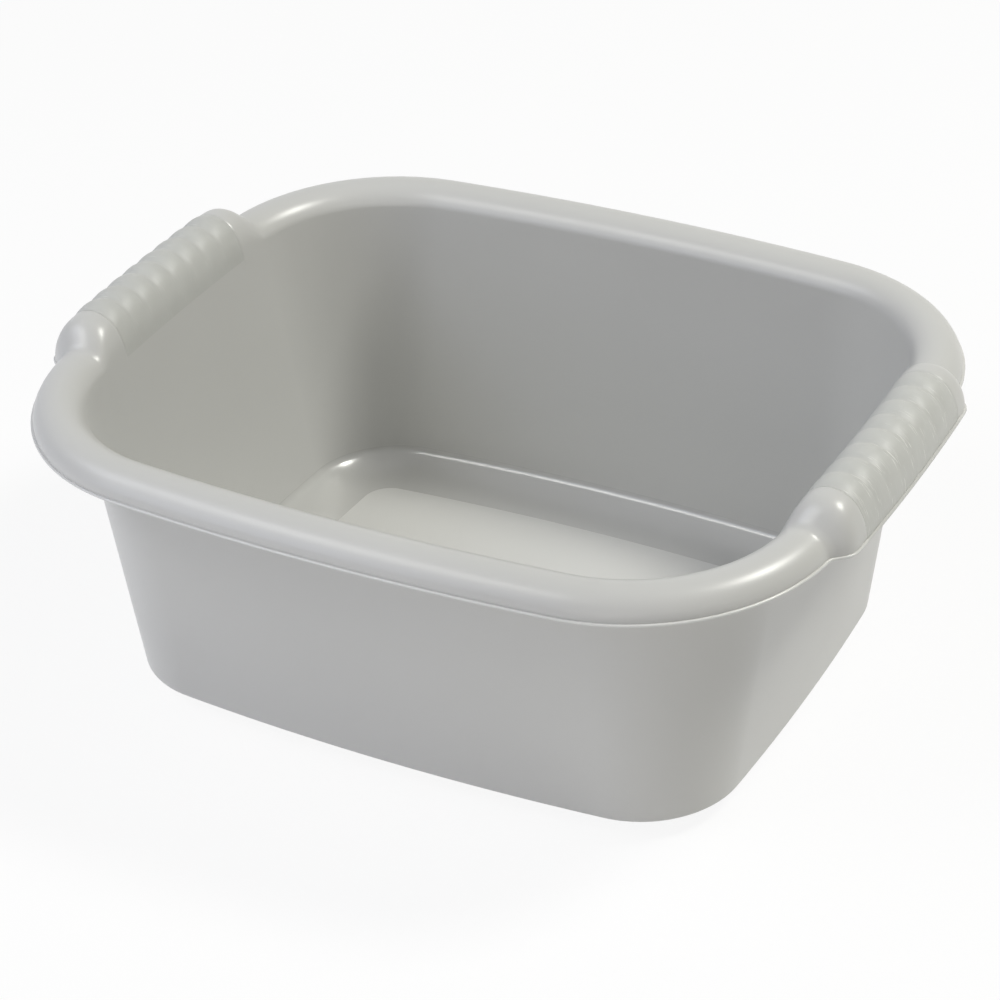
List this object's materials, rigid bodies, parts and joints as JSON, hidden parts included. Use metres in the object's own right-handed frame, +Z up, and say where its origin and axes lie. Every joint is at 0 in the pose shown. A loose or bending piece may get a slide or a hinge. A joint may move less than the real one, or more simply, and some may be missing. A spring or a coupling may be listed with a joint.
{
  "type": "washing up bowl",
  "caption": "Rectangular plastic washing up bowl with drafted walls, a rolled rim and a raised ribbed soft grip at each short end.",
  "frame": {"origin": "centre of the flat panel that the bowl stands on", "axes": "+X along the bowl towards the right grip, +Y across it towards its back long side, +Z up out of its mouth"},
  "size_m": [0.385, 0.312, 0.1562],
  "materials": {
    "shell_plastic": "pale warm grey moulded polypropylene, satin gloss",
    "soft_grip": "the same pale grey in a soft matt elastomer with fine moulded lines"
  },
  "bodies": {
    "root": {"bowl_shell": "shell_plastic", "left_grip": "soft_grip", "right_grip": "soft_grip"}
  },
  "joints": []
}
